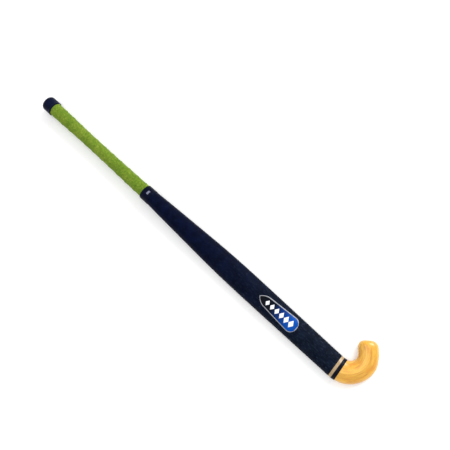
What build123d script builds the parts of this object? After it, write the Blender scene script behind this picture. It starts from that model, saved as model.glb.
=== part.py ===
from build123d import *
from math import asin, cos, radians, sin
import os

# Right-handed field hockey stick, lying with its flat playing face down.
# +X runs from the butt cap to the head, +Y points to the toe, +Z out of the rounded back.
# Distances called "x" in the tables are measured from the butt end along the stick.

os.makedirs("parts", exist_ok=True)

# ---------------------------------------------------------------- driving dimensions (mm)
LENGTH = 914.4          # adult stick, 36 in
AXIS_Y = -30.06         # handle axis to the middle of the overall width
AXIS_Z = 17.0           # handle axis above the playing face
COVER = 0.8             # thickness of the shaft wrap and of the handle binding
SPLICE_COVER = 0.6      # twine let into the wood over the splice
GRIP_COVER = 2.0        # thickness of the towelling grip
FILM = 0.3              # thickness of printed films

WOOD_START = 5.0        # wood begins inside the butt cap
CAP_LENGTH = 28.5
CAP_RADIUS = 17.0
CAP_DOME = 7.0          # length of the rounded butt end
CAP_FLAT = 9.0          # radius of the flat middle of the butt end
CAP_RIM = 1.5           # rounding of the cap's open rim
BINDING_END = 286.0     # handle binding stops, shaft wrap starts
GRIP_END = 328.0
COLLAR_START = 322.0
COLLAR_END = 344.0
COLLAR_RADIUS_BUTT = 16.5
COLLAR_RADIUS_HEAD = 17.0
LABEL_START = 333.0
LABEL_LENGTH = 4.4
LABEL_WIDTH = 8.6
LABEL_Y = 3.8           # the label sits a little round to the toe side
COLLAR_ROUNDING = 0.4
FORK = 316.0            # root of the V splice
SPLICE_TIP = 506.0      # point of the V splice
SPLICE_ROOT_HALF = 11.0
SPLICE_TIP_HALF = 1.6
SPLICE_BINDING_END = 531.0
WRAP_END = (849.4, 853.8)       # slanted edges near the head: x on the toe side and on the heel side
STRIPE_END = (855.2, 859.6)
BAND_END = (862.0, 868.0)

RUBBER = 1.5            # rubber strip between two cane slips
CANE = 4.4              # inner cane slip
PLY = 10.0              # one mulberry lamination
PLIES = 5
PLY_START = 286.0       # laminations are cut from blanks that begin here
TOE_BLANK = 60.0        # blank left beyond the bend
INNER_BLANK = 3.0       # inner radius of the bent blank, inside the throat

# Round handle of the bare stick: x, radius
HANDLE_PROFILE = [
    (WOOD_START, 12.8),
    (38.0, 12.8),
    (82.0, 12.1),
    (127.0, 11.2),
    (177.0, 11.1),
    (237.0, 11.5),
    (288.0, 12.1),
    (324.0, 12.9),
    (COLLAR_END, 15.3),
]

# Bare shaft cross-sections, evenly spaced from the collar to the bend: half width,
# back above the waist, face below the waist, waist height.
SHAFT_SECTIONS = [
    (15.3, 15.3, 15.3, 17.0),
    (17.9, 16.5, 15.1, 14.9),
    (20.1, 17.2, 13.9, 12.7),
    (22.3, 17.6, 12.9, 10.7),
    (24.0, 17.4, 12.3, 9.1),
    (24.6, 17.0, 12.0, 8.4),
    (24.4, 16.8, 12.0, 8.1),
    (23.9, 16.5, 12.0, 8.0),
    (23.5, 16.2, 12.0, 8.0),
    (23.0, 15.9, 12.0, 8.0),
    (22.6, 15.6, 12.0, 8.0),
]
FACE_DEPTH = 12.0       # lower half height of the blade's section before planing
WAIST = 8.0             # height of the blade's widest line

# Hook: outer edge near a circle, inner edge growing slowly, then a short straight toe.
BEND_HALF = 22.6        # half width where the bend starts
HEEL_RADIUS = 59.5      # outer radius where the bend starts
HEEL_SWELL = 1.5        # how much the outer radius grows over the first part of the bend
HEEL_SWELL_ANGLE = 40.0
HEEL_RADIUS_END = 57.5
THROAT_GROWTH = 4.7     # how much the inner radius grows round the bend
THROAT_CLOSING = 0.7    # how much of that it loses again before the toe
BEND_BACK = 15.6        # back above the waist where the bend starts
TOE_BACK = 14.0
BEND_START = -90.0      # degrees round the bend, from the heel side
BEND_END = 38.0
BEND_STEPS = 12
TOE_LENGTH = 25.0
TOE_LEAN = 0.08         # how far the toe's middle moves inwards per mm along it
TOE_SHOULDER = 8.0      # the toe starts to round off here
TOE_STEPS = 8
TOE_POWER = 2.8         # squareness of the rounded toe seen from above
TOE_BACK_POWER = 3.0    # squareness of the rounded toe seen from the side
TOE_TIP = 0.985         # share of the rounding kept before the small end face

HEEL_RADIUS_FULL = HEEL_RADIUS + HEEL_SWELL
BEND_X = LENGTH - HEEL_RADIUS_FULL
BEND_Y = HEEL_RADIUS - BEND_HALF
THROAT_RADIUS = BEND_Y - BEND_HALF

# Decal: bullet-shaped film on the rounded back, narrow end towards the handle
DECAL_TIP = 655.0
DECAL_NECK = 676.0
DECAL_NECK_HALF = 11.5
DECAL_SHOULDER = 738.0
DECAL_HALF = 16.3
DECAL_END = 752.0
DECAL_Y = 2.0

TALL = 60.0             # taller than the stick, for cutting blocks
WIDE = 200.0            # wider than the stick, for cutting blocks
THROAT_CLEAR = 34.0     # a cut this far from the axis stays short of the toe
DECAL_FLOOR = 10.0      # the decal is on the back, above this height


# ---------------------------------------------------------------- helpers
def at(x, y, z=0.0):
    """Point given from the butt end and the handle axis, in the stick's frame."""
    return (x - LENGTH / 2, y + AXIS_Y, z)


def smooth(share):
    """Ease from 0 to 1."""
    share = min(max(share, 0.0), 1.0)
    return share * share * (3 - 2 * share)


def shaft_stations():
    """Sections of the shaft, square to X."""
    step = (BEND_X - COLLAR_END) / (len(SHAFT_SECTIONS) - 1)
    stations = []
    for index, (half, back, face, waist) in enumerate(SHAFT_SECTIONS):
        plane = Plane(at(COLLAR_END + index * step, 0), x_dir=(0, 1, 0), z_dir=(1, 0, 0))
        stations.append((plane, half, back, face, waist))
    return stations


def bend_station(degrees):
    """Section of the hook on a radius of the bend."""
    turned = (degrees - BEND_START) / (BEND_END - BEND_START)
    growth = THROAT_GROWTH * smooth(turned * 1.3) - THROAT_CLOSING * smooth(degrees / BEND_END)
    throat = THROAT_RADIUS + growth
    swell = HEEL_SWELL * smooth((degrees - BEND_START) / HEEL_SWELL_ANGLE)
    closing = (HEEL_RADIUS_FULL - HEEL_RADIUS_END) * smooth(degrees / BEND_END)
    heel = HEEL_RADIUS + swell - closing
    middle = (throat + heel) / 2
    back = BEND_BACK + (TOE_BACK - BEND_BACK) * turned
    angle = radians(degrees)
    origin = at(BEND_X + middle * cos(angle), BEND_Y + middle * sin(angle))
    plane = Plane(origin, x_dir=(-cos(angle), -sin(angle), 0), z_dir=(-sin(angle), cos(angle), 0))
    return (plane, (heel - throat) / 2, back, FACE_DEPTH, WAIST)


def toe_stations():
    """Sections of the straight toe, closing to a small end face."""
    root, half, back, face, waist = bend_station(BEND_END)
    stations = []
    for index in range(TOE_STEPS + 1):
        distance = TOE_LENGTH * sin(radians(90 * index / TOE_STEPS))
        rounding = TOE_TIP * max(distance - TOE_SHOULDER, 0) / (TOE_LENGTH - TOE_SHOULDER)
        width = (1 - rounding ** TOE_POWER) ** (1 / TOE_POWER)
        height = (1 - rounding ** TOE_BACK_POWER) ** (1 / TOE_BACK_POWER)
        origin = root.offset(distance).origin + root.x_dir * TOE_LEAN * distance
        stations.append((
            Plane(origin, x_dir=root.x_dir, z_dir=root.z_dir),
            half * width,
            back * height,
            face * height,
            waist,
        ))
    return stations


BEND_ANGLES = [BEND_START + (BEND_END - BEND_START) * step / BEND_STEPS for step in range(BEND_STEPS + 1)]
STRETCHES = [
    shaft_stations(),
    [bend_station(degrees) for degrees in BEND_ANGLES],
    toe_stations(),
]


STICK_PLANE = Plane(at(0, 0), x_dir=(1, 0, 0), z_dir=(0, 0, 1))
AXIS_PLANE = STICK_PLANE.offset(AXIS_Z)
HANDLE_AXIS = Axis(at(0, 0, AXIS_Z), (1, 0, 0))


def handle_form(offset):
    """The round handle grown evenly by offset."""
    with BuildPart() as body:
        with BuildSketch(AXIS_PLANE):
            with BuildLine():
                side = Spline(*[(x, radius + offset) for x, radius in HANDLE_PROFILE])
                Polyline(side @ 1, (COLLAR_END, 0), (WOOD_START, 0), side @ 0)
            make_face()
        revolve(axis=HANDLE_AXIS)
    return body.part


def stretch_form(stations, offset):
    """One stretch of the shaft, hook or toe grown evenly by offset."""
    with BuildPart() as body:
        for plane, half, back, face, waist in stations:
            with BuildSketch(plane):
                with BuildLine():
                    EllipticalCenterArc((0, waist), half + offset, back + offset, 0, arc_size=180)
                    EllipticalCenterArc((0, waist), half + offset, face + offset, 180, arc_size=180)
                make_face()
        loft()
    return body.part


def form(offset):
    """The whole stick grown evenly by offset, its playing face planed flat."""
    pieces = [handle_form(offset)] + [stretch_form(stations, offset) for stations in STRETCHES]
    with BuildPart() as body:
        add(pieces)
        with Locations((0, 0, COVER - offset)):
            Box(2 * LENGTH, 2 * WIDE, TALL, align=(Align.CENTER, Align.CENTER, Align.MIN),
                mode=Mode.INTERSECT)
    return body.part


def keep(start, end):
    """Inside a part, keep what lies between two distances from the butt."""
    with Locations(at((start + end) / 2, 0)):
        Box(end - start, 2 * WIDE, 2 * TALL, mode=Mode.INTERSECT)


def keep_slanted(start, end):
    """Inside a part, keep what lies between two slanted edges of the shaft."""
    corners = []
    for toe, heel in (start, end):
        middle = (toe + heel) / 2
        slant = (toe - heel) / (2 * BEND_HALF)
        corners.append((middle - slant * THROAT_CLEAR, -THROAT_CLEAR))
        corners.append((middle + slant * THROAT_CLEAR, THROAT_CLEAR))
    with BuildSketch(STICK_PLANE) as region:
        Polygon(corners[0], corners[2], corners[3], corners[1], align=None)
    extrude(region.sketch, amount=TALL, mode=Mode.INTERSECT)


def save(part, name):
    """Label a finished piece and write its file."""
    part.label = name
    export_step(part, f"parts/{name}.step")


wood_form = form(0)
wrapped_form = form(COVER)
spliced_form = form(-SPLICE_COVER)
film_form = form(COVER + FILM)

# ---------------------------------------------------------------- splice binding, let into the wood
with BuildPart() as splice_binding:
    add(wood_form)
    add(spliced_form, mode=Mode.SUBTRACT)
    keep(BINDING_END, SPLICE_BINDING_END)
save(splice_binding.part, "splice_binding")

# ---------------------------------------------------------------- blanks either side of the V splice
with BuildPart() as bare_stick:
    add(wood_form)
    add(splice_binding.part, mode=Mode.SUBTRACT)

with BuildPart() as handle_region:
    with BuildSketch(STICK_PLANE):
        Polygon(
            (0, -WIDE / 2),
            (FORK, -WIDE / 2),
            (FORK, -SPLICE_ROOT_HALF),
            (SPLICE_TIP, -SPLICE_TIP_HALF),
            (SPLICE_TIP, SPLICE_TIP_HALF),
            (FORK, SPLICE_ROOT_HALF),
            (FORK, WIDE / 2),
            (0, WIDE / 2),
            align=None,
        )
    extrude(amount=TALL)

with BuildPart() as handle_blank:
    add(bare_stick.part)
    add(handle_region.part, mode=Mode.INTERSECT)

with BuildPart() as head_blank:
    add(bare_stick.part)
    add(handle_region.part, mode=Mode.SUBTRACT)

# ---------------------------------------------------------------- cane slips and rubber strips
PITCH = CANE + RUBBER
LAYER_EDGES = [-WIDE]
for middle in (-PITCH, 0, PITCH):
    LAYER_EDGES += [middle - RUBBER / 2, middle + RUBBER / 2]
LAYER_EDGES.append(WIDE)

for index in range(len(LAYER_EDGES) - 1):
    low, high = LAYER_EDGES[index], LAYER_EDGES[index + 1]
    with BuildPart() as layer:
        add(handle_blank.part)
        with Locations(at(LENGTH / 2, (low + high) / 2)):
            Box(2 * LENGTH, high - low, 2 * TALL, mode=Mode.INTERSECT)
    kind = "cane_slip" if index % 2 == 0 else "rubber_strip"
    save(layer.part, f"{kind}_{index // 2 + 1}")

# ---------------------------------------------------------------- steam-bent mulberry laminations


def ply_outline(radius):
    """One glue line: along the shaft, round the bend and out along the toe."""
    run = Line((PLY_START, BEND_Y - radius), (BEND_X, BEND_Y - radius))
    bend = CenterArc((BEND_X, BEND_Y), radius, BEND_START, BEND_END - BEND_START)
    toe = Line(bend @ 1, bend @ 1 + Vector(-sin(radians(BEND_END)), cos(radians(BEND_END))) * TOE_BLANK)
    return run @ 0, toe @ 1


GLUE_RADII = [BEND_Y + (PLIES / 2 - line) * PLY for line in range(1, PLIES)]
PLY_RADII = [BEND_Y + WIDE / 2] + GLUE_RADII + [INNER_BLANK]

for index in range(PLIES):
    with BuildPart() as ply:
        with BuildSketch(STICK_PLANE):
            with BuildLine():
                outer_start, outer_end = ply_outline(PLY_RADII[index])
                inner_start, inner_end = ply_outline(PLY_RADII[index + 1])
                Line(outer_start, inner_start)
                Line(outer_end, inner_end)
            make_face()
        extrude(amount=TALL)
        add(head_blank.part, mode=Mode.INTERSECT)
    save(ply.part, f"head_ply_{index + 1}")

# ---------------------------------------------------------------- binding and wraps
with BuildPart() as handle_binding:
    add(wrapped_form)
    add(wood_form, mode=Mode.SUBTRACT)
    keep(WOOD_START, BINDING_END)
save(handle_binding.part, "handle_binding")

with BuildPart() as shaft_wrap:
    add(wrapped_form)
    add(wood_form, mode=Mode.SUBTRACT)
    keep_slanted((BINDING_END, BINDING_END), WRAP_END)
save(shaft_wrap.part, "shaft_wrap")

with BuildPart() as trim_stripe:
    add(wrapped_form)
    add(wood_form, mode=Mode.SUBTRACT)
    keep_slanted(WRAP_END, STRIPE_END)
save(trim_stripe.part, "trim_stripe")

with BuildPart() as head_band:
    add(wrapped_form)
    add(wood_form, mode=Mode.SUBTRACT)
    keep_slanted(STRIPE_END, BAND_END)
save(head_band.part, "head_band")

# ---------------------------------------------------------------- grip, collar tape and its label
grip_form = handle_form(COVER + GRIP_COVER)
with BuildPart() as grip:
    add(grip_form)
    add(wrapped_form, mode=Mode.SUBTRACT)
    keep(CAP_LENGTH, GRIP_END)
save(grip.part, "grip")


def collar_form(offset):
    """Solid cone of the tape's outside."""
    with BuildPart() as body:
        with BuildSketch(AXIS_PLANE):
            with BuildLine():
                Polyline(
                    (COLLAR_START, 0),
                    (COLLAR_START, COLLAR_RADIUS_BUTT + offset),
                    (COLLAR_END, COLLAR_RADIUS_HEAD + offset),
                    (COLLAR_END, 0),
                    close=True,
                )
            face = make_face()
            fillet(face.vertices().group_by(Axis.Y)[-1] + face.vertices().group_by(Axis.Y)[-2],
                   COLLAR_ROUNDING)
        revolve(axis=HANDLE_AXIS)
    return body.part


collar_solid = collar_form(0)
with BuildPart() as collar_tape:
    add(collar_solid)
    add(wrapped_form, mode=Mode.SUBTRACT)
    add(grip.part, mode=Mode.SUBTRACT)
save(collar_tape.part, "collar_tape")

label_solid = collar_form(FILM)
with BuildPart() as collar_label:
    add(label_solid)
    add(collar_solid, mode=Mode.SUBTRACT)
    with Locations(at(LABEL_START + LABEL_LENGTH / 2, LABEL_Y, AXIS_Z)):
        Box(LABEL_LENGTH, LABEL_WIDTH, TALL, align=(Align.CENTER, Align.CENTER, Align.MIN),
            mode=Mode.INTERSECT)
save(collar_label.part, "collar_label")

# ---------------------------------------------------------------- butt cap
with BuildPart() as butt_cap:
    with BuildSketch(AXIS_PLANE):
        with BuildLine():
            dome = EllipticalCenterArc((CAP_DOME, CAP_FLAT), CAP_DOME, CAP_RADIUS - CAP_FLAT, 90,
                                       arc_size=90)
            rim = CenterArc((CAP_LENGTH - CAP_RIM, CAP_RADIUS - CAP_RIM), CAP_RIM, 0, 90)
            Line(dome @ 0, rim @ 1)
            Polyline(rim @ 0, (CAP_LENGTH, 0), (0, 0), dome @ 1)
        make_face()
    revolve(axis=HANDLE_AXIS)
    add(wrapped_form, mode=Mode.SUBTRACT)
save(butt_cap.part, "butt_cap")

# ---------------------------------------------------------------- decal on the back


def decal_side(side):
    """Long edge of the decal, on the +Y side or the -Y side."""
    neck = (DECAL_NECK, DECAL_Y + side * DECAL_NECK_HALF)
    shoulder = (DECAL_SHOULDER, DECAL_Y + side * DECAL_HALF)
    nose = TangentArc(neck, (DECAL_TIP, DECAL_Y), tangent=(neck[0] - shoulder[0], neck[1] - shoulder[1]))
    Line(neck, shoulder)
    return nose


with BuildPart() as decal:
    with BuildSketch(STICK_PLANE.offset(DECAL_FLOOR)):
        with BuildLine():
            decal_side(1)
            decal_side(-1)
            ThreePointArc(
                (DECAL_SHOULDER, DECAL_Y + DECAL_HALF),
                (DECAL_END, DECAL_Y),
                (DECAL_SHOULDER, DECAL_Y - DECAL_HALF),
            )
        make_face()
    extrude(amount=TALL)
    add(film_form, mode=Mode.INTERSECT)
    add(wrapped_form, mode=Mode.SUBTRACT)
save(decal.part, "decal")
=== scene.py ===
import math

import bpy
import numpy as np
from mathutils import Matrix, Vector, noise
from mathutils.bvhtree import BVHTree


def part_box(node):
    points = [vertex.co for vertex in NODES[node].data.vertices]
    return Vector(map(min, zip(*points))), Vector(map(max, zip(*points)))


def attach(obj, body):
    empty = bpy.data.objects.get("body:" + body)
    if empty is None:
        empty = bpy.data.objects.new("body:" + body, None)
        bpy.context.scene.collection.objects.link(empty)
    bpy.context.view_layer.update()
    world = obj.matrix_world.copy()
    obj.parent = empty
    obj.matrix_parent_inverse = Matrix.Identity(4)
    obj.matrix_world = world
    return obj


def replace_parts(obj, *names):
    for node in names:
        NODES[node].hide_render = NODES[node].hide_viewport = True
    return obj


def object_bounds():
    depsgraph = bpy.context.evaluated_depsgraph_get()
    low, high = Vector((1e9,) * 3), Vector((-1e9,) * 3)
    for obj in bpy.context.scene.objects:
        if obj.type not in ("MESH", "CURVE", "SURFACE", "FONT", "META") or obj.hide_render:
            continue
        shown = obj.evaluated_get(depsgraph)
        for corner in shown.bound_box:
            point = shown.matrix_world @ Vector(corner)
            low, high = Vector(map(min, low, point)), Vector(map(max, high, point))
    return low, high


# A wooden-headed field hockey stick lying face down on a pale floor, looked at from above its back.
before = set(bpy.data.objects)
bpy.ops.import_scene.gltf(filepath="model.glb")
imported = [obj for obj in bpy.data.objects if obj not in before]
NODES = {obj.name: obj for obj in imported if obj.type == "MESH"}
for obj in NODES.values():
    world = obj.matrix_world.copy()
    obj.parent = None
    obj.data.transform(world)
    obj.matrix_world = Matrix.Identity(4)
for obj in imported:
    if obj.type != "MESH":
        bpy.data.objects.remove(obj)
CAD_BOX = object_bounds()

MM = 0.001
CAP_LOW, CAP_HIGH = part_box("butt_cap")
AXIS_Y = (CAP_LOW.y + CAP_HIGH.y) / 2
AXIS_Z = (CAP_LOW.z + CAP_HIGH.z) / 2
CAP_RADIUS = (CAP_HIGH.z - CAP_LOW.z) / 2
BUTT_X = CAP_LOW.x
LENGTH = CAD_BOX[1].x - CAD_BOX[0].x

# The hook is bent round this centre. These three sizes are the stick's own.
HEEL_RADIUS = 59.5 * MM
HEEL_SWELL = 1.5 * MM
BEND_HALF = 22.6 * MM
BEND_X = BUTT_X + LENGTH - HEEL_RADIUS - HEEL_SWELL
BEND_Y = AXIS_Y + HEEL_RADIUS - BEND_HALF

# Laminations of the head are this thick; one glue line runs at this radius of the bend.
PLY = 10.0 * MM
GLUE_LINE = HEEL_RADIUS - BEND_HALF + PLY / 2


# ---------------------------------------------------------------- mesh helpers
def make_piece(name, points, faces, material, uvs=None, smooth=True):
    """A mesh piece in the row frame that rides on the stick."""
    mesh = bpy.data.meshes.new(name)
    mesh.from_pydata([tuple(p) for p in points], [], faces)
    if uvs is not None:
        layer = mesh.uv_layers.new(name="strip")
        for loop in mesh.loops:
            layer.data[loop.index].uv = uvs[loop.vertex_index]
    mesh.polygons.foreach_set("use_smooth", [smooth] * len(mesh.polygons))
    mesh.materials.append(material)
    piece = bpy.data.objects.new(name, mesh)
    bpy.context.scene.collection.objects.link(piece)
    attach(piece, "root")
    return piece


def ring_faces(rows, around, flip=False):
    """Quads between rows of points that each close round on themselves."""
    faces = []
    for row in range(rows - 1):
        for step in range(around):
            a = row * around + step
            b = row * around + (step + 1) % around
            quad = (a, b, b + around, a + around)
            faces.append(quad[::-1] if flip else quad)
    return faces


def lathe(name, profile, material, around=128, shape=None):
    """Turns a closed profile of (x, radius) about the handle axis. shape adds radius by x and angle."""
    points = []
    for x, radius in profile:
        for step in range(around):
            angle = 2 * math.pi * step / around
            r = radius + (shape(x, angle, radius) if shape else 0.0)
            points.append((x, AXIS_Y + r * math.cos(angle), AXIS_Z + r * math.sin(angle)))
    rows = len(profile)
    faces = ring_faces(rows, around)
    last = (rows - 1) * around
    faces += [
        (last + step, last + (step + 1) % around, (step + 1) % around, step)
        for step in range(around)
    ]
    return make_piece(name, points, faces, material)


def arc_points(centre, radius_x, radius_r, start, end, steps):
    """Points of an elliptic arc in the (x, radius) plane, angles in degrees."""
    points = []
    for step in range(steps + 1):
        angle = math.radians(start + (end - start) * step / steps)
        points.append((centre[0] + radius_x * math.cos(angle), centre[1] + radius_r * math.sin(angle)))
    return points


def surface(node):
    """Search tree of a CAD node's faces."""
    mesh = NODES[node].data
    return BVHTree.FromPolygons([v.co for v in mesh.vertices], [p.vertices for p in mesh.polygons])


def radius_at(trees, x, angle=math.pi / 2):
    """Outer radius of the first of these skins that the handle has at x."""
    out = Vector((0, math.cos(angle), math.sin(angle)))
    for tree in trees:
        hit = tree.ray_cast(Vector((x, AXIS_Y, AXIS_Z)) + out * 0.1, -out, 0.1)
        if hit[0] is not None:
            return (hit[0] - Vector((x, AXIS_Y, AXIS_Z))).length
    raise ValueError(f"no skin at {x}")


def back_height(tree, x, y):
    """Height of the rounded back under a point."""
    hit = tree.ray_cast(Vector((x, y, 0.1)), Vector((0, 0, -1)))
    return hit[0].z


# ---------------------------------------------------------------- material helpers
class Paint:
    """A procedural material being built: a Principled shader and short calls for the nodes behind it."""

    def __init__(self, name, roughness, **fixed):
        self.material = bpy.data.materials.new(name)
        self.material.use_nodes = True
        self.tree = self.material.node_tree
        self.shader = self.tree.nodes["Principled BSDF"]
        self.shader.inputs["Roughness"].default_value = roughness
        for socket, value in fixed.items():
            self.shader.inputs[socket.replace("_", " ")].default_value = value
        self.place = self.tree.nodes.new("ShaderNodeNewGeometry").outputs["Position"]

    def link(self, value, socket):
        if hasattr(value, "is_output"):
            self.tree.links.new(value, socket)
        else:
            socket.default_value = value

    def math(self, operation, a, b=0.0, c=0.0, clamp=False):
        node = self.tree.nodes.new("ShaderNodeMath")
        node.operation = operation
        node.use_clamp = clamp
        for value, socket in zip((a, b, c), node.inputs):
            self.link(value, socket)
        return node.outputs[0]

    def split(self, vector):
        node = self.tree.nodes.new("ShaderNodeSeparateXYZ")
        self.link(vector, node.inputs[0])
        return node.outputs

    def join(self, x, y, z=0.0):
        node = self.tree.nodes.new("ShaderNodeCombineXYZ")
        for value, socket in zip((x, y, z), node.inputs):
            self.link(value, socket)
        return node.outputs[0]

    def attribute(self, name):
        node = self.tree.nodes.new("ShaderNodeAttribute")
        node.attribute_name = name
        return node.outputs["Fac"]

    def noise(self, vector, size, stretch=(1, 1, 1), detail=3.0, rough=0.5):
        """Noise with blobs about that size in metres; stretch makes them longer along an axis."""
        scaled = self.tree.nodes.new("ShaderNodeMapping")
        scaled.inputs["Scale"].default_value = [1 / (size * s) for s in stretch]
        self.link(vector, scaled.inputs["Vector"])
        node = self.tree.nodes.new("ShaderNodeTexNoise")
        node.inputs["Scale"].default_value = 1.0
        node.inputs["Detail"].default_value = detail
        node.inputs["Roughness"].default_value = rough
        self.link(scaled.outputs[0], node.inputs["Vector"])
        return node.outputs[0]

    def cells(self, vector, size, stretch=(1, 1, 1), randomness=1.0):
        """Distance from the middle of the nearest cell, cells about that size in metres."""
        scaled = self.tree.nodes.new("ShaderNodeMapping")
        scaled.inputs["Scale"].default_value = [1 / (size * s) for s in stretch]
        self.link(vector, scaled.inputs["Vector"])
        node = self.tree.nodes.new("ShaderNodeTexVoronoi")
        node.inputs["Scale"].default_value = 1.0
        node.inputs["Randomness"].default_value = randomness
        self.link(scaled.outputs[0], node.inputs["Vector"])
        return node.outputs["Distance"]

    def ramp(self, value, stops):
        """Colour by value: stops of (position, colour)."""
        node = self.tree.nodes.new("ShaderNodeValToRGB")
        self.link(value, node.inputs[0])
        elements = node.color_ramp.elements
        while len(elements) < len(stops):
            elements.new(0.5)
        for element, (position, colour) in zip(elements, stops):
            element.position = position
            element.color = (*srgb(colour), 1)
        return node.outputs[0]

    def mix(self, share, first, second, blend="MIX"):
        node = self.tree.nodes.new("ShaderNodeMix")
        node.data_type = "RGBA"
        node.blend_type = blend
        node.clamp_factor = True
        self.link(share, node.inputs["Factor"])
        for value, socket in ((first, node.inputs["A"]), (second, node.inputs["B"])):
            self.link((*srgb(value), 1) if isinstance(value, tuple) else value, socket)
        return node.outputs["Result"]

    def between(self, value, low, high):
        """Value stretched so that low becomes 0 and high 1, clamped."""
        node = self.tree.nodes.new("ShaderNodeMapRange")
        node.interpolation_type = "SMOOTHSTEP"
        self.link(value, node.inputs["Value"])
        node.inputs["From Min"].default_value = low
        node.inputs["From Max"].default_value = high
        return node.outputs[0]

    def bump(self, height, depth, under=None):
        """Bump from a 0 to 1 height; depth in metres."""
        node = self.tree.nodes.new("ShaderNodeBump")
        node.inputs["Strength"].default_value = 1.0
        node.inputs["Distance"].default_value = depth
        self.link(height, node.inputs["Height"])
        if under is not None:
            self.link(under, node.inputs["Normal"])
        return node.outputs[0]

    def finish(self, colour, roughness=None, normal=None):
        self.link(colour, self.shader.inputs["Base Color"])
        if roughness is not None:
            self.link(roughness, self.shader.inputs["Roughness"])
        if normal is not None:
            self.link(normal, self.shader.inputs["Normal"])
        return self.material


def srgb(colour):
    """Display colour, 0 to 255, as linear light."""
    linear = []
    for value in colour:
        share = value / 255
        linear.append(share / 12.92 if share <= 0.04045 else ((share + 0.055) / 1.055) ** 2.4)
    return tuple(linear)


def wound_coordinates(paint, radius, height=AXIS_Z):
    """Along the handle and round it, both in metres of surface."""
    x, y, z = paint.split(paint.place)
    across = paint.math("SUBTRACT", y, AXIS_Y)
    up = paint.math("SUBTRACT", z, height)
    angle = paint.math("ARCTAN2", up, across)
    return x, paint.math("MULTIPLY", angle, radius)


def bend_coordinates(paint):
    """Along the laminations and across them, both in metres, following the hook."""
    x, y, z = paint.split(paint.place)
    right = paint.math("SUBTRACT", x, BEND_X)
    up = paint.math("SUBTRACT", y, BEND_Y)
    bent = paint.math("GREATER_THAN", right, 0.0)
    radius = paint.math("SQRT", paint.math("ADD", paint.math("POWER", right, 2.0),
                                           paint.math("POWER", up, 2.0)))
    angle = paint.math("ADD", paint.math("ARCTAN2", up, right), math.pi / 2)
    turned = paint.math("GREATER_THAN", up, 0.0)
    hooked = paint.math("MAXIMUM", bent, turned)
    along_bend = paint.math("MULTIPLY", angle, 37 * MM)
    straight_across = paint.math("MULTIPLY", up, -1.0)
    along = paint.math("ADD", paint.math("MULTIPLY", along_bend, hooked),
                       paint.math("MULTIPLY", right, paint.math("SUBTRACT", 1.0, hooked)))
    across = paint.math("ADD", paint.math("MULTIPLY", radius, hooked),
                        paint.math("MULTIPLY", straight_across, paint.math("SUBTRACT", 1.0, hooked)))
    return along, across, z


# ---------------------------------------------------------------- materials
def towelling_material():
    """Olive green terry: pale rubbed flecks of yarn and a plain selvedge, with painted shade darkening the
    gaps between the loops and the places where the pile is low.
    """
    paint = Paint("towelling_green", 0.95, Specular_IOR_Level=0.12, Sheen_Weight=0.12,
                  Sheen_Roughness=0.6)
    paint.shader.inputs["Sheen Tint"].default_value = (*srgb((190, 215, 120)), 1)
    pile = paint.attribute("pile")
    strip = paint.tree.nodes.new("ShaderNodeUVMap")
    strip.uv_map = "strip"
    across = paint.split(strip.outputs[0])[1]
    loops = paint.cells(strip.outputs[0], 1.25 * MM, (1.15, 0.9, 1))
    yarn = paint.noise(strip.outputs[0], 0.32 * MM, (0.6, 2.2, 1), detail=3)
    soiling = paint.noise(paint.place, 20 * MM, (2.0, 1, 1), detail=4)
    patches = paint.noise(paint.place, 4.0 * MM, detail=4, rough=0.65)
    tone = paint.ramp(soiling, [(0.32, (98, 130, 30)), (0.50, (112, 142, 38)), (0.68, (132, 152, 50))])
    tone = paint.mix(paint.between(patches, 0.52, 0.70), tone, (150, 164, 62))
    tone = paint.mix(paint.between(patches, 0.47, 0.31), tone, (80, 110, 24))
    # Painted shade: darker green in the gaps between the terry loops.
    painted_gap_shade = paint.math("MULTIPLY", paint.between(loops, 0.30, 0.62), 0.52)
    tone = paint.mix(painted_gap_shade, tone, (54, 76, 14))
    # Painted shade: darker green where the pile is low, between the loops and along the strip's edges.
    painted_pile_shade = paint.math("MULTIPLY", paint.between(pile, 0.55, 0.0), 0.35)
    tone = paint.mix(painted_pile_shade, tone, (64, 88, 18))
    tone = paint.mix(paint.math("MULTIPLY", paint.between(yarn, 0.5, 0.75), 0.30), tone, (166, 184, 90))
    hem = paint.math("MULTIPLY", paint.between(across, SELVEDGE * 1.1, SELVEDGE * 0.4), 0.55)
    tone = paint.mix(hem, tone, (74, 98, 26))
    relief = paint.bump(paint.math("SUBTRACT", 1.0, loops), 0.45 * MM)
    return paint.finish(tone, normal=paint.bump(yarn, 0.2 * MM, relief))


def cap_material():
    """Moulded navy rubber, dulled by handling."""
    paint = Paint("cap_rubber_navy", 0.42, Specular_IOR_Level=0.06)
    scuffs = paint.noise(paint.place, 6 * MM, (1, 2.5, 1), detail=6, rough=0.65)
    grain = paint.noise(paint.place, 0.35 * MM, detail=2)
    tone = paint.ramp(scuffs, [(0.35, (3, 7, 30)), (0.60, (6, 13, 42)), (0.80, (18, 27, 56))])
    rough = paint.math("ADD", 0.32, paint.math("MULTIPLY", scuffs, 0.28))
    return paint.finish(tone, rough, paint.bump(grain, 0.05 * MM))


def tape_material():
    """Navy vinyl tape, stretched as it was wound."""
    paint = Paint("collar_vinyl", 0.35, Specular_IOR_Level=0.05)
    along, around = wound_coordinates(paint, 17 * MM)
    place = paint.join(along, around)
    stretch = paint.noise(place, 1.6 * MM, (1, 9, 1), detail=4)
    dust = paint.noise(paint.place, 5 * MM, detail=5)
    tone = paint.ramp(dust, [(0.35, (2, 5, 24)), (0.62, (4, 9, 32)), (0.85, (22, 27, 48))])
    rough = paint.math("ADD", 0.26, paint.math("MULTIPLY", dust, 0.22))
    return paint.finish(tone, rough, paint.bump(stretch, 0.10 * MM))


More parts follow.
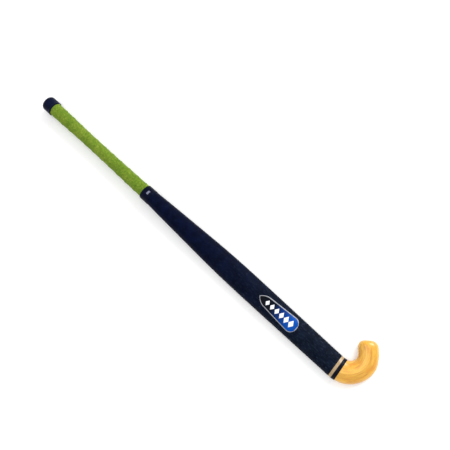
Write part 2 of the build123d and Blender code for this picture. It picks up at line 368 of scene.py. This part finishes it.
def wrap_material():
    """Navy resin over woven cloth: the weave shows through, and the head end is rubbed greyer."""
    paint = Paint("shaft_wrap_navy", 0.45, Specular_IOR_Level=0.03)
    along, around = wound_coordinates(paint, 22 * MM, 12 * MM)
    yarn = 1.3 * MM
    warp = paint.math("SINE", paint.math("MULTIPLY", along, 2 * math.pi / yarn))
    weft = paint.math("SINE", paint.math("MULTIPLY", around, 2 * math.pi / yarn))
    weave = paint.math("MULTIPLY_ADD", paint.math("MULTIPLY", warp, weft), 0.5, 0.5)
    place = paint.join(along, around)
    drape = paint.noise(place, 5 * MM, (3, 1, 1), detail=5)
    dabs = paint.noise(place, 4.2 * MM, (2.0, 1, 1), detail=5, rough=0.7)
    streaks = paint.noise(place, 1.8 * MM, (5, 1, 1), detail=5, rough=0.6)
    clouds = paint.noise(paint.place, 16 * MM, detail=4)
    x = paint.split(paint.place)[0]
    worn = paint.between(x, 0.0, 0.36)
    fresh = paint.ramp(clouds, [(0.30, (1, 4, 26)), (0.55, (2, 9, 36)), (0.78, (4, 14, 44))])
    rubbed = paint.ramp(clouds, [(0.30, (4, 10, 24)), (0.55, (9, 18, 34)), (0.78, (16, 28, 44))])
    tone = paint.mix(worn, fresh, rubbed)
    dab_share = paint.math("MULTIPLY_ADD", worn, 0.55, 0.10)
    lift = paint.math("MULTIPLY", paint.between(dabs, 0.50, 0.70), dab_share)
    tone = paint.mix(lift, tone, (46, 58, 78))
    fleck_share = paint.math("MULTIPLY_ADD", worn, 0.30, 0.06)
    fleck = paint.math("MULTIPLY", paint.between(streaks, 0.60, 0.80), fleck_share)
    tone = paint.mix(fleck, tone, (92, 98, 116))
    tone = paint.mix(paint.math("MULTIPLY", weave, 0.3), tone, (1, 2, 8))
    rough = paint.math("MULTIPLY_ADD", clouds, 0.25, 0.34)
    relief = paint.bump(drape, 0.25 * MM)
    return paint.finish(tone, rough, paint.bump(weave, 0.08 * MM, relief))


def band_material():
    """Navy lacquer band, brushed on round the stick."""
    paint = Paint("head_band_navy", 0.34, Specular_IOR_Level=0.07)
    brushed = paint.noise(paint.place, 1.5 * MM, (0.6, 6, 3), detail=4)
    tone = paint.ramp(brushed, [(0.3, (4, 5, 16)), (0.6, (9, 11, 26)), (0.85, (26, 30, 44))])
    return paint.finish(tone, normal=paint.bump(brushed, 0.08 * MM))


def trim_material():
    """Tan lacquered stripe with the grain just showing."""
    paint = Paint("trim_tan", 0.38, Coat_Weight=0.25, Coat_Roughness=0.25)
    grain = paint.noise(paint.place, 1.1 * MM, (8, 1, 1), detail=5)
    brushed = paint.noise(paint.place, 4 * MM, (0.6, 2, 2), detail=3)
    tone = paint.ramp(grain, [(0.3, (142, 114, 76)), (0.6, (164, 138, 98)), (0.85, (184, 162, 128))])
    tone = paint.mix(paint.between(brushed, 0.5, 0.8), tone, (184, 168, 144))
    return paint.finish(tone, normal=paint.bump(brushed, 0.06 * MM))


def mulberry_material(index):
    """Varnished mulberry whose grain follows the bend; each lamination has its own figure."""
    paint = Paint(f"mulberry_{index}", 0.3, Coat_Weight=0.5, Coat_Roughness=0.25)
    along, across, z = bend_coordinates(paint)
    shifted = paint.math("ADD", along, index * 0.37)
    place = paint.join(shifted, across, z)
    from_glue = paint.math("PINGPONG", paint.math("SUBTRACT", across, GLUE_LINE), PLY / 2)
    glue = paint.between(from_glue, 0.26 * MM, 0.08 * MM)
    fibres = paint.noise(place, 0.45 * MM, (28, 1, 1), detail=4)
    figure = paint.noise(place, 3.2 * MM, (7, 1, 1.4), detail=5, rough=0.6)
    blotches = paint.noise(place, 13 * MM, (1.6, 1, 1), detail=3)
    pores = paint.cells(place, 0.7 * MM, (9, 1, 1), 1.0)
    shade = 1.0 + 0.035 * math.sin(index * 2.4)
    light = tuple(min(255, c * shade) for c in (226, 174, 58))
    base = tuple(min(255, c * shade) for c in (212, 155, 37))
    deep = tuple(min(255, c * shade) for c in (186, 120, 22))
    tone = paint.ramp(figure, [(0.28, deep), (0.50, base), (0.72, light)])
    tone = paint.mix(paint.between(blotches, 0.52, 0.72), tone, (204, 134, 28))
    tone = paint.mix(paint.math("MULTIPLY", paint.between(fibres, 0.5, 0.72), 0.35), tone, (238, 190, 84))
    tone = paint.mix(paint.math("MULTIPLY", paint.between(pores, 0.32, 0.12), 0.30), tone, (150, 92, 24))
    tone = paint.mix(paint.math("MULTIPLY", glue, 0.55), tone, (132, 76, 20))
    rough = paint.math("MULTIPLY_ADD", blotches, 0.2, 0.2)
    relief = paint.bump(figure, 0.12 * MM, paint.bump(paint.math("SUBTRACT", 1.0, glue), 0.06 * MM))
    return paint.finish(tone, rough, paint.bump(fibres, 0.05 * MM, relief))


def cane_material():
    """Split rattan: long pale fibres with dark vessels."""
    paint = Paint("rattan_cane", 0.6)
    vessels = paint.noise(paint.place, 0.6 * MM, (40, 1, 1), detail=4)
    tone = paint.ramp(vessels, [(0.3, (150, 112, 66)), (0.55, (198, 164, 108)), (0.8, (222, 194, 142))])
    return paint.finish(tone, normal=paint.bump(vessels, 0.1 * MM))


def rubber_material():
    """Black sheet rubber with a fine tooth."""
    paint = Paint("sheet_rubber", 0.75)
    tooth = paint.noise(paint.place, 0.5 * MM, detail=3)
    tone = paint.ramp(tooth, [(0.3, (20, 20, 21)), (0.8, (40, 40, 42))])
    return paint.finish(tone, normal=paint.bump(tooth, 0.08 * MM))


def twine_material():
    """Waxed twine laid close, turn by turn."""
    paint = Paint("waxed_twine", 0.65)
    along, around = wound_coordinates(paint, 14 * MM)
    turns = paint.math("SINE", paint.math("MULTIPLY", along, 2 * math.pi / (1.1 * MM)))
    fibre = paint.noise(paint.join(along, around), 0.4 * MM, (1, 5, 1), detail=3)
    height = paint.math("ADD", turns, fibre)
    tone = paint.ramp(fibre, [(0.3, (150, 134, 96)), (0.8, (206, 192, 152))])
    return paint.finish(tone, normal=paint.bump(height, 0.2 * MM))


def print_material(name, colour, worn):
    """Printed film in one ink, with slight wear."""
    paint = Paint(name, 0.34, Specular_IOR_Level=0.35)
    wear = paint.noise(paint.place, 2.5 * MM, (3, 1, 1), detail=5)
    tone = paint.ramp(wear, [(0.35, worn), (0.55, colour)])
    return paint.finish(tone, normal=paint.bump(wear, 0.03 * MM))


def field_material(start, end):
    """Decal ground, black at the handle end and blue at the head end."""
    paint = Paint("decal_field", 0.34, Specular_IOR_Level=0.06)
    x = paint.split(paint.place)[0]
    wear = paint.noise(paint.place, 2.5 * MM, (3, 1, 1), detail=5)
    share = paint.math("DIVIDE", paint.math("SUBTRACT", x, start), end - start)
    share = paint.math("ADD", share, paint.math("MULTIPLY_ADD", wear, 0.06, -0.03))
    tone = paint.ramp(share, [(0.0, (2, 3, 7)), (0.36, (2, 8, 24)), (0.60, (0, 44, 112)),
                              (0.86, (0, 72, 160)), (1.0, (0, 60, 140))])
    return paint.finish(tone, normal=paint.bump(wear, 0.03 * MM))


def floor_material():
    """Matt off-white paper."""
    paint = Paint("floor_paper", 0.85, Specular_IOR_Level=0.1)
    tooth = paint.noise(paint.place, 60 * MM, detail=3)
    tone = paint.ramp(tooth, [(0.3, (250, 250, 250)), (0.8, (252, 252, 252))])
    return paint.finish(tone)


# ---------------------------------------------------------------- grip: a wound towelling strip
STRIP_WIDTH = 30.0 * MM
WIND_PITCH = 26.0 * MM
CLOTH = 1.0 * MM
PILE = 0.6 * MM
LAP_LIFT = 0.62
LAP_EASE = 3.2 * MM
SELVEDGE = 1.0 * MM
MESH_STEP = 0.62 * MM
LOOP_ALONG = 1.75 * MM
LOOP_ACROSS = 1.45 * MM
BACKING_STEP = 4
WOUND_RADIUS = 14.8 * MM
LOOP_SEED = 4


def smooth(share):
    """Ease from 0 to 1."""
    share = min(max(share, 0.0), 1.0)
    return share * share * (3 - 2 * share)


def pile_height(along, across):
    """Height from 0 to 1 of the terry loops, which stand in rows across the strip."""
    row = math.floor(along / LOOP_ALONG)
    nearest = 2.0
    for near_row in (row - 1, row, row + 1):
        column = math.floor(across / LOOP_ACROSS - 0.5 * (near_row % 2))
        for near_column in (column, column + 1):
            shake = noise.noise_vector(Vector((near_row * 3.7, near_column * 5.3, 1.5)))
            middle_along = (near_row + 0.5 + 0.45 * shake.x) * LOOP_ALONG
            middle_across = (near_column + 0.5 * (near_row % 2) + 0.45 * shake.y) * LOOP_ACROSS
            reach = math.hypot((along - middle_along) / LOOP_ALONG, (across - middle_across) / LOOP_ACROSS)
            nearest = min(nearest, reach * (1.0 + 0.5 * shake.z))
    return math.sqrt(max(0.0, 1 - (nearest / 0.62) ** 2))


def strip_point(x, angle, turn, middle, half, lap, base, start):
    """Under and upper radius and pile of the strip at one place of its winding."""
    from_edge = x - (middle - half)
    to_edge = (middle + half) - x
    ease = smooth((lap + LAP_EASE - from_edge) / LAP_EASE)
    covered = x - start > 0.5 * MM and turn > 1.0
    under = base + 0.05 * MM + (CLOTH * LAP_LIFT * ease if covered else 0.0)
    inside = min(from_edge, to_edge) / SELVEDGE
    pile = pile_height(angle * WOUND_RADIUS, from_edge) * smooth(inside)
    drift = noise.noise(Vector((x, angle * WOUND_RADIUS, 0)) / (7 * MM))
    thick = CLOTH * (0.45 + 0.3 * smooth(inside)) + PILE * pile + 0.14 * MM * drift
    return under, under + thick, pile


def wind_grip(material):
    """Terry strip wound from the cap to the collar, each turn lapping the one before."""
    low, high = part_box("grip")
    skins = [surface("handle_binding"), surface("shaft_wrap")]
    start, end = low.x, high.x
    girth = 2 * math.pi * WOUND_RADIUS
    width = STRIP_WIDTH / math.cos(math.atan(WIND_PITCH / girth))
    lap = width - WIND_PITCH
    steps_round = BACKING_STEP * int(girth / MESH_STEP / BACKING_STEP)
    columns = BACKING_STEP * int(width / MESH_STEP / BACKING_STEP)
    turns = (end - start + width) / WIND_PITCH
    stations = [start + (end - start) * i / 400 for i in range(401)]
    radii = [radius_at(skins, min(max(x, start + 0.1 * MM), end - 0.1 * MM)) for x in stations]
    outer, inner, pile, places = [], [], [], []
    noise.seed_set(LOOP_SEED)
    kept = []
    for row in range(1, int(turns * steps_round)):
        middle = start - width / 2 + WIND_PITCH * row / steps_round
        if min(middle + width / 2, end) - max(middle - width / 2, start) > 0.3 * MM:
            kept.append(row)
    kept = kept[:len(kept) - (len(kept) - 1) % BACKING_STEP]
    for count, row in enumerate(kept):
        turn = row / steps_round
        angle = 2 * math.pi * turn
        middle = start - width / 2 + WIND_PITCH * turn
        near, far = max(middle - width / 2, start), min(middle + width / 2, end)
        for column in range(columns + 1):
            x = near + (far - near) * column / columns
            base = float(np.interp(x, stations, radii))
            under, over, loop = strip_point(x, angle, turn, middle, width / 2, lap, base, start)
            y, z = math.cos(angle), math.sin(angle)
            outer.append((x, AXIS_Y + over * y, AXIS_Z + over * z))
            pile.append(loop)
            places.append((angle * WOUND_RADIUS, x - (middle - width / 2)))
            if count % BACKING_STEP == 0 and column % BACKING_STEP == 0:
                inner.append((x, AXIS_Y + under * y, AXIS_Z + under * z))
    faces = strip_faces(len(kept), columns)
    backing_pile = [0.0] * len(inner)
    backing_places = [(0.0, 0.0)] * len(inner)
    piece = make_piece("grip_strip", outer + inner, faces, material, places + backing_places)
    heights = piece.data.attributes.new("pile", "FLOAT", "POINT")
    heights.data.foreach_set("value", pile + backing_pile)
    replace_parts(piece, "grip")
    return piece


def strip_faces(rows, columns):
    """Faces of the strip: fine pile side, coarse backing, and the edges that join them."""
    wide = columns + 1
    total = rows * wide
    step = BACKING_STEP
    back_rows, back_columns = (rows - 1) // step, columns // step
    back_wide = back_columns + 1
    faces = []
    for row in range(rows - 1):
        for column in range(columns):
            a = row * wide + column
            faces.append((a, a + 1, a + wide + 1, a + wide))
    for row in range(back_rows):
        for column in range(back_columns):
            a = total + row * back_wide + column
            faces.append((a, a + back_wide, a + back_wide + 1, a + 1))
    for row in range(back_rows):
        for side, back_side, turn in ((0, 0, 1), (columns, back_columns, -1)):
            fine = [(row * step + k) * wide + side for k in range(step + 1)]
            back = [total + (row + k) * back_wide + back_side for k in (1, 0)]
            faces.append(tuple((fine + back)[::turn]))
    for column in range(back_columns):
        for side, back_side, turn in ((0, 0, -1), (rows - 1, back_rows, 1)):
            fine = [side * wide + column * step + k for k in range(step + 1)]
            back = [total + back_side * back_wide + column + k for k in (1, 0)]
            faces.append(tuple((fine + back)[::turn]))
    return faces


# ---------------------------------------------------------------- butt cap and collar
CAP_DOME = 7.0 * MM
CAP_FLAT = 9.0 * MM
CAP_FLOOR = 5.0 * MM
CAP_SIDE_SHARES = (0.22, 0.3, 0.4, 0.5, 0.6, 0.7)
GROOVE_FROM_RIM = 5.8 * MM
RIM_ROUNDING = 1.6 * MM
RIM_BEAD = 0.275 * MM
BORE_CHAMFER = 0.3 * MM
SKIN_GAP = 0.05 * MM


def cap_end(tip):
    """Half profile of the cap's dished end: dish, raised ring and dome."""
    profile = [(tip + 1.2 * MM, SKIN_GAP), (tip + 1.15 * MM, 2.0 * MM), (tip + 0.7 * MM, 4.6 * MM)]
    profile += arc_points((tip + 0.62 * MM, 6.0 * MM), 0.5 * MM, 0.9 * MM, 250, 110, 6)
    profile += [(tip + 0.15 * MM, 7.6 * MM)]
    profile += arc_points((tip + CAP_DOME, CAP_FLAT), CAP_DOME, CAP_RADIUS - CAP_FLAT, 175, 92, 18)
    return profile


def cap_side(tip, end):
    """Half profile of the cap's side: plain wall, moulded groove and beaded rim."""
    profile = [(tip + share * (end - tip), CAP_RADIUS) for share in CAP_SIDE_SHARES]
    profile += [(end - 7.2 * MM, CAP_RADIUS), (end - 6.6 * MM, CAP_RADIUS - 0.02 * MM)]
    profile += arc_points((end - GROOVE_FROM_RIM, CAP_RADIUS), 0.6 * MM, 0.4 * MM, 200, 340, 8)
    profile += [(end - 5.0 * MM, CAP_RADIUS)]
    rim = (end - RIM_ROUNDING, CAP_RADIUS - RIM_ROUNDING)
    profile += arc_points(rim, RIM_ROUNDING, RIM_ROUNDING + RIM_BEAD, 100, 0, 12)
    return profile


def mould_cap(material):
    """Rubber cap with a dished end, a moulded ring and a beaded rim."""
    low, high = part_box("butt_cap")
    bore = radius_at([surface("handle_binding")], low.x + 20 * MM) + SKIN_GAP
    end, tip = high.x, low.x
    profile = cap_end(tip) + cap_side(tip, end)
    profile += [(end, bore + BORE_CHAMFER), (end - BORE_CHAMFER, bore)]
    profile += [(tip + CAP_FLOOR, bore), (tip + CAP_FLOOR, SKIN_GAP)]
    piece = lathe("butt_cap_moulded", profile, material, around=160)
    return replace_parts(piece, "butt_cap")


TAPE_STEP = 0.28 * MM
TAPE_LIP = 0.45 * MM
TAPE_ROWS = 32
TAPE_RIPPLE = 0.05 * MM
TAPE_SECOND_TURN = 0.12 * MM
TAPE_END_ANGLE = 2.2


def tape_rows(start, end, outer_low, outer_high, under):
    """Outer and inner rows of (x, radius) of the tape, with rounded lips."""
    outer = []
    for index in range(TAPE_ROWS + 1):
        share = index / TAPE_ROWS
        x = start + (end - start) * share
        edge = min(x - start, end - x)
        lip = TAPE_LIP * (1 - math.sqrt(max(0.0, 1 - (1 - min(edge / TAPE_LIP, 1)) ** 2)))
        outer.append((x, outer_low + (outer_high - outer_low) * share - lip))
    inner = []
    for index in range(TAPE_ROWS + 1):
        x = end - (end - start) * index / TAPE_ROWS
        inside = min(max(x, start + 0.1 * MM), end - 0.1 * MM)
        inner.append((x, radius_at(under, inside) + 0.03 * MM))
    return outer + inner


def wind_collar(material):
    """Finishing tape: three turns of vinyl whose loose end makes a small step."""
    low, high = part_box("collar_tape")
    tree = surface("collar_tape")
    under = [surface("grip"), surface("shaft_wrap")]
    start, end = low.x, high.x
    outer_low = radius_at([tree], start + 1.5 * MM)
    outer_high = radius_at([tree], end - 1.5 * MM)
    rows = tape_rows(start, end, outer_low, outer_high, under)

    def wound(x, angle, radius):
        if radius < outer_low - 0.7 * MM:
            return 0.0
        turned = (angle + TAPE_END_ANGLE) % (2 * math.pi) / (2 * math.pi)
        ripple = TAPE_RIPPLE * noise.noise(Vector((x / (2.2 * MM), angle * 1.3, 3.0)))
        second = TAPE_SECOND_TURN if (x - start) > 7 * MM + turned * 4 * MM else 0.0
        return TAPE_STEP * (turned - 0.6) + ripple - second

    piece = lathe("collar_tape_wound", rows, material, around=160, shape=wound)
    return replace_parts(piece, "collar_tape")


# ---------------------------------------------------------------- decal: rim, ground and diamonds
# The decal's nose ends and its round end starts at these shares of its length. The nose is this
# share of the full width.
DECAL_NOSE = 0.2165
DECAL_SHOULDER = 0.8557
DECAL_NECK = 0.7055
DECAL_RIM = 1.7 * MM


def decal_half(share, half):
    """Half width of the decal by the share of its length from the handle end."""
    if share < DECAL_NOSE:
        return half * DECAL_NECK * math.sin(math.pi / 2 * (share / DECAL_NOSE) ** 0.8)
    if share < DECAL_SHOULDER:
        widened = (share - DECAL_NOSE) / (DECAL_SHOULDER - DECAL_NOSE)
        return half * (DECAL_NECK + (1 - DECAL_NECK) * widened)
    rounded = (share - DECAL_SHOULDER) / (1 - DECAL_SHOULDER)
    return half * math.sqrt(max(0.0, 1 - rounded ** 2))


def film(name, outline, lift, thickness, material, across=30):
    """A thin closed film on the back. outline lists (x, lowest y, highest y) from one end to the other."""
    tree = surface("shaft_wrap")
    top, bottom = [], []
    for x, near, far in outline:
        for column in range(across + 1):
            y = near + (far - near) * column / across
            z = back_height(tree, x, y) + lift
            top.append((x, y, z + thickness))
            bottom.append((x, y, z))
    rows, wide = len(outline), across + 1
    total = rows * wide
    faces = []
    for row in range(rows - 1):
        for column in range(across):
            a = row * wide + column
            b = a + wide
            faces.append((a, b, b + 1, a + 1))
            faces.append((total + a, total + a + 1, total + b + 1, total + b))
        a, b = row * wide, (row + 1) * wide
        faces.append((a, total + a, total + b, b))
        faces.append((a + across, b + across, total + b + across, total + a + across))
    last = (rows - 1) * wide
    for column in range(across):
        faces.append((column, column + 1, total + column + 1, total + column))
        faces.append((last + column, total + last + column, total + last + column + 1, last + column + 1))
    return make_piece(name, top + bottom, faces, material)


# Six diamonds grow from the first to the last of these shares of the decal's length.
DIAMONDS = 6
DIAMOND_FIRST = 0.22
DIAMOND_LAST = 0.85
DIAMOND_WIDTH = 0.52
DIAMOND_ROWS = 14


def diamond(name, x, middle, long_half, wide_half, material):
    """One plain white diamond of the decal."""
    rows = []
    for row in range(DIAMOND_ROWS + 1):
        offset = 2 * row / DIAMOND_ROWS - 1
        reach = wide_half * (1 - abs(offset)) + 0.15 * MM
        rows.append((x + offset * long_half, middle - reach, middle + reach))
    film(name, rows, 0.23 * MM, 0.12 * MM, material, across=8)


def print_decal():
    """Silver-edged decal with a black to blue ground and a row of plain diamonds."""
    low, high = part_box("decal")
    start, end = low.x, high.x
    middle, half = (low.y + high.y) / 2, (high.y - low.y) / 2
    silver = print_material("decal_silver", (146, 148, 154), (118, 120, 126))
    white = print_material("decal_white", (232, 234, 236), (214, 217, 221))

    def outline(inset, rows=72):
        points = []
        for row in range(rows + 1):
            share = 0.5 - 0.5 * math.cos(math.pi * (0.003 + 0.994 * row / rows))
            x = start + inset + (end - start - 2 * inset) * share
            wide = decal_half((x - start) / (end - start), half)
            wide = max(wide - inset, 0.15 * MM)
            points.append((x, middle - wide, middle + wide))
        return points

    rim_piece = film("decal_rim", outline(0.0), 0.02 * MM, 0.12 * MM, silver)
    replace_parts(rim_piece, "decal")
    ground = field_material(start, end)
    film("decal_ground", outline(DECAL_RIM), 0.1 * MM, 0.12 * MM, ground)
    for index in range(DIAMONDS):
        grown = index / (DIAMONDS - 1)
        share = DIAMOND_FIRST + (DIAMOND_LAST - DIAMOND_FIRST) * grown
        x = start + (end - start) * share
        wide_half = DIAMOND_WIDTH * decal_half(share, half)
        diamond(f"decal_diamond_{index + 1}", x, middle, (4.3 + 1.2 * grown) * MM, wide_half, white)


# ---------------------------------------------------------------- dress the CAD nodes
def dress(node, material):
    """Gives a CAD node that stays visible its finished material."""
    for slot_index in range(len(NODES[node].material_slots)):
        NODES[node].material_slots[slot_index].material = material


def dress_nodes():
    dress("shaft_wrap", wrap_material())
    dress("head_band", band_material())
    dress("trim_stripe", trim_material())
    dress("collar_label", print_material("label_silver", (118, 120, 142), (70, 72, 94)))
    for index in range(1, 6):
        dress(f"head_ply_{index}", mulberry_material(index))
    cane, rubber, twine = cane_material(), rubber_material(), twine_material()
    for index in range(1, 5):
        dress(f"cane_slip_{index}", cane)
    for index in range(1, 4):
        dress(f"rubber_strip_{index}", rubber)
    dress("handle_binding", twine)
    dress("splice_binding", twine)


# ---------------------------------------------------------------- stage, lights and camera
FLOOR_HALF = 6.0


def lay_floor():
    mesh = bpy.data.meshes.new("floor")
    corners = [(-FLOOR_HALF, -FLOOR_HALF), (FLOOR_HALF, -FLOOR_HALF), (FLOOR_HALF, FLOOR_HALF),
               (-FLOOR_HALF, FLOOR_HALF)]
    mesh.from_pydata([(x, y, -0.1 * MM) for x, y in corners], [], [(0, 1, 2, 3)])
    mesh.materials.append(floor_material())
    floor = bpy.data.objects.new("floor", mesh)
    bpy.context.scene.collection.objects.link(floor)


def hang_light(name, place, size, power, target=(0, 0, 0)):
    data = bpy.data.lights.new(name, "AREA")
    data.shape = "DISK"
    data.size = size
    data.energy = power
    lamp = bpy.data.objects.new(name, data)
    lamp.location = place
    lamp.rotation_mode = "QUATERNION"
    lamp.rotation_quaternion = (Vector(target) - Vector(place)).to_track_quat("-Z", "Y")
    bpy.context.scene.collection.objects.link(lamp)


def light_studio():
    world = bpy.data.worlds.new("studio")
    world.use_nodes = True
    world.node_tree.nodes["Background"].inputs["Color"].default_value = (1, 1, 1, 1)
    world.node_tree.nodes["Background"].inputs["Strength"].default_value = 0.9
    bpy.context.scene.world = world
    hang_light("key", (0.3, 2.3, 1.4), 1.6, 55)
    hang_light("top", (-0.2, -0.3, 2.6), 2.4, 16)
    bpy.context.scene.view_settings.view_transform = "Standard"


# The camera looks down on the back from above the head, tilted along the stick, and is rolled so
# that the stick runs from the upper left of the picture to the lower right.
CAMERA_TILT = math.radians(15)
CAMERA_ROLL = math.radians(41.82)
CAMERA_TARGET = Vector((0.0442, 0.0305, 0.012))
CAMERA_DISTANCE = 1.3062
CAMERA_LENS = 50.52
SENSOR = 36


def place_camera():
    data = bpy.data.cameras.new("camera")
    data.sensor_width = SENSOR
    data.lens = CAMERA_LENS
    camera = bpy.data.objects.new("camera", data)
    ahead = Vector((-math.sin(CAMERA_TILT), 0, -math.cos(CAMERA_TILT)))
    to_head = Vector((math.cos(CAMERA_TILT), 0, -math.sin(CAMERA_TILT)))
    to_heel = Vector((0, -1, 0))
    right = to_head * math.cos(CAMERA_ROLL) - to_heel * math.sin(CAMERA_ROLL)
    down = to_head * math.sin(CAMERA_ROLL) + to_heel * math.cos(CAMERA_ROLL)
    turned = Matrix((right, -down, -ahead)).transposed().to_4x4()
    place = CAMERA_TARGET - ahead * CAMERA_DISTANCE
    camera.matrix_world = Matrix.Translation(place) @ turned
    bpy.context.scene.collection.objects.link(camera)
    bpy.context.scene.camera = camera


place_camera()
light_studio()
lay_floor()
wind_grip(towelling_material())
mould_cap(cap_material())
wind_collar(tape_material())
print_decal()
dress_nodes()
